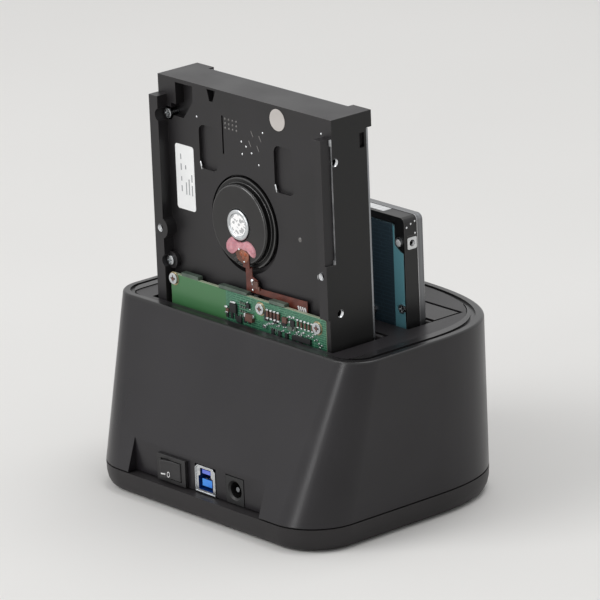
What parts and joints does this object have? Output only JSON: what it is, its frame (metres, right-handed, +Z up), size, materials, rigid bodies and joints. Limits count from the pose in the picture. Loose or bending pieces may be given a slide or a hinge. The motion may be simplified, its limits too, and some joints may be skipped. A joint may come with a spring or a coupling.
{
  "type": "hard drive docking station",
  "caption": "Black desktop dock for bare hard drives, with sprung bay doors, a rocker switch, a data socket and a power jack on the back; a large and a small bare drive stand docked in it.",
  "frame": {"origin": "middle of the footprint, at the underside of the rubber feet", "axes": "+Z up, +Y toward the side with the ports and the large drive's circuit board, +X to the left when looking at the ports"},
  "size_m": [0.1456, 0.117, 0.1645],
  "materials": {
    "shell_plastic": "fine spark-eroded texture, satin black",
    "base_plastic": "fine spark-eroded texture, satin black",
    "feet_rubber": "matt",
    "frame_plastic": "satin black",
    "door_plastic": "satin black",
    "pin_steel": "drawn wire",
    "spring_steel": "spring wire",
    "board_laminate": "green solder mask over glass laminate",
    "chip_resin": "moulded resin",
    "can_aluminium": "drawn can",
    "inductor_ferrite": "pressed ferrite",
    "receptacle_plastic": "moulded",
    "contact_gold": "gold plated",
    "socket_steel": "tin plated",
    "socket_blue": "moulded blue",
    "jack_plastic": "moulded black",
    "jack_nickel": "nickel plated",
    "switch_plastic": "moulded black",
    "rocker_plastic": "moulded black with printed marks",
    "terminal_brass": "tinned brass",
    "screw_zinc": "zinc plated",
    "screw_black": "black oxide",
    "pipe_clear": "clear moulding",
    "led_resin": "cast resin",
    "casting_black": "satin black paint on a die casting",
    "cover_steel": "pressed plate",
    "drive_laminate": "green solder mask over glass laminate",
    "plug_plastic": "moulded",
    "motor_black": "satin black paint",
    "hub_steel": "turned",
    "flex_film": "copper coloured polyimide film",
    "glue_pink": "cured sealant",
    "label_paper": "plain white label stock",
    "platter_mirror": "polished disc",
    "arm_aluminium": "machined",
    "magnet_nickel": "nickel plated",
    "small_casting": "dark casting",
    "small_cover_aluminium": "brushed plate",
    "small_laminate": "blue-green solder mask"
  },
  "bodies": {
    "dock": {"upper_shell": "shell_plastic", "base_plate": "base_plastic", "rubber_feet": "feet_rubber", "bay_frame": "frame_plastic", "large_door_pins": "pin_steel", "large_door_springs": "spring_steel", "main_board": "board_laminate", "bridge_chip": "chip_resin", "board_capacitors": "can_aluminium", "board_inductors": "inductor_ferrite", "board_chips": "chip_resin", "rear_receptacle": "receptacle_plastic", "front_receptacle": "receptacle_plastic", "receptacle_contacts": "contact_gold", "usb_shell": "socket_steel", "usb_insulator": "socket_blue", "usb_contacts": "contact_gold", "jack_housing": "jack_plastic", "jack_pin": "jack_nickel", "jack_spring": "contact_gold", "switch_frame": "switch_plastic", "switch_terminals": "terminal_brass", "board_screws": "screw_zinc", "housing_screws": "screw_black", "frame_screws": "screw_black", "light_pipe": "pipe_clear", "status_led": "led_resin"},
    "rocker": {"rocker": "rocker_plastic"},
    "rear_door": {"rear_large_door": "door_plastic", "rear_small_pin": "pin_steel", "rear_small_spring": "spring_steel"},
    "rear_flap": {"rear_small_door": "door_plastic"},
    "front_door": {"front_large_door": "door_plastic", "front_small_pin": "pin_steel", "front_small_spring": "spring_steel"},
    "front_flap": {"front_small_door": "door_plastic"},
    "large_drive": {"large_drive_base": "casting_black", "large_drive_cover": "cover_steel", "large_drive_board": "drive_laminate", "large_drive_chips": "chip_resin", "large_drive_plug": "plug_plastic", "large_drive_motor": "motor_black", "large_drive_hub": "hub_steel", "large_drive_flex": "flex_film", "large_drive_glue": "glue_pink", "large_drive_label": "label_paper", "large_drive_seal": "label_paper", "large_drive_screws": "screw_zinc", "large_drive_cover_screws": "screw_zinc", "large_drive_magnets": "magnet_nickel"},
    "large_discs": {"large_drive_platters": "platter_mirror"},
    "large_arm": {"large_drive_arm": "arm_aluminium"},
    "small_drive": {"small_drive_base": "small_casting", "small_drive_cover": "small_cover_aluminium", "small_drive_board": "small_laminate", "small_drive_screws": "screw_zinc", "small_drive_plug": "plug_plastic"},
    "small_disc": {"small_drive_platter": "platter_mirror"},
    "small_arm": {"small_drive_arm": "arm_aluminium"}
  },
  "joints": [
    {"name": "rocker_tilt", "type": "hinge", "parent": "dock", "child": "rocker", "pos_m": [0.0182, 0.0528, 0.0158], "axis": [0, 0, 1], "range_deg": [-16, 0]},
    {"name": "rear_door_swing", "type": "hinge", "parent": "dock", "child": "rear_door", "pos_m": [0, 0.0042, 0.0726], "axis": [1, 0, 0], "range_deg": [-0.5, 1.2], "stiffness_Nm_per_rad": 0.02},
    {"name": "rear_flap_swing", "type": "hinge", "parent": "rear_door", "child": "rear_flap", "pos_m": [0, 0.0042, 0.0584], "axis": [-1, 0, 0], "range_deg": [0, 1.8], "stiffness_Nm_per_rad": 0.004, "springref_deg": -17.19},
    {"name": "front_door_swing", "type": "hinge", "parent": "dock", "child": "front_door", "pos_m": [0, -0.0348, 0.0726], "axis": [-1, 0, 0], "range_deg": [0, 45], "stiffness_Nm_per_rad": 0.02, "springref_deg": -20.05},
    {"name": "front_flap_swing", "type": "hinge", "parent": "front_door", "child": "front_flap", "pos_m": [0, -0.0206, 0.0726], "axis": [1, 0, 0], "range_deg": [-15, 1.2], "stiffness_Nm_per_rad": 0.004},
    {"name": "large_drive_lift", "type": "slide", "parent": "dock", "child": "large_drive", "axis": [0, 0, 1], "range_m": [0, 0.08]},
    {"name": "large_disc_spin", "type": "hinge", "parent": "large_drive", "child": "large_discs", "pos_m": [0.0029, 0.0146, 0.1129], "axis": [0, 1, 0], "continuous": true},
    {"name": "large_arm_swing", "type": "hinge", "parent": "large_drive", "child": "large_arm", "pos_m": [-0.027, 0.0147, 0.0655], "axis": [0, 1, 0], "range_deg": [0, 24]},
    {"name": "small_drive_lift", "type": "slide", "parent": "dock", "child": "small_drive", "axis": [0, 0, 1], "range_m": [0, 0.08]},
    {"name": "small_disc_spin", "type": "hinge", "parent": "small_drive", "child": "small_disc", "pos_m": [-0.01568, -0.015, 0.0795], "axis": [0, 1, 0], "continuous": true},
    {"name": "small_arm_swing", "type": "hinge", "parent": "small_drive", "child": "small_arm", "pos_m": [0.00413, -0.0153, 0.0415], "axis": [0, -1, 0], "range_deg": [0, 25]}
  ]
}
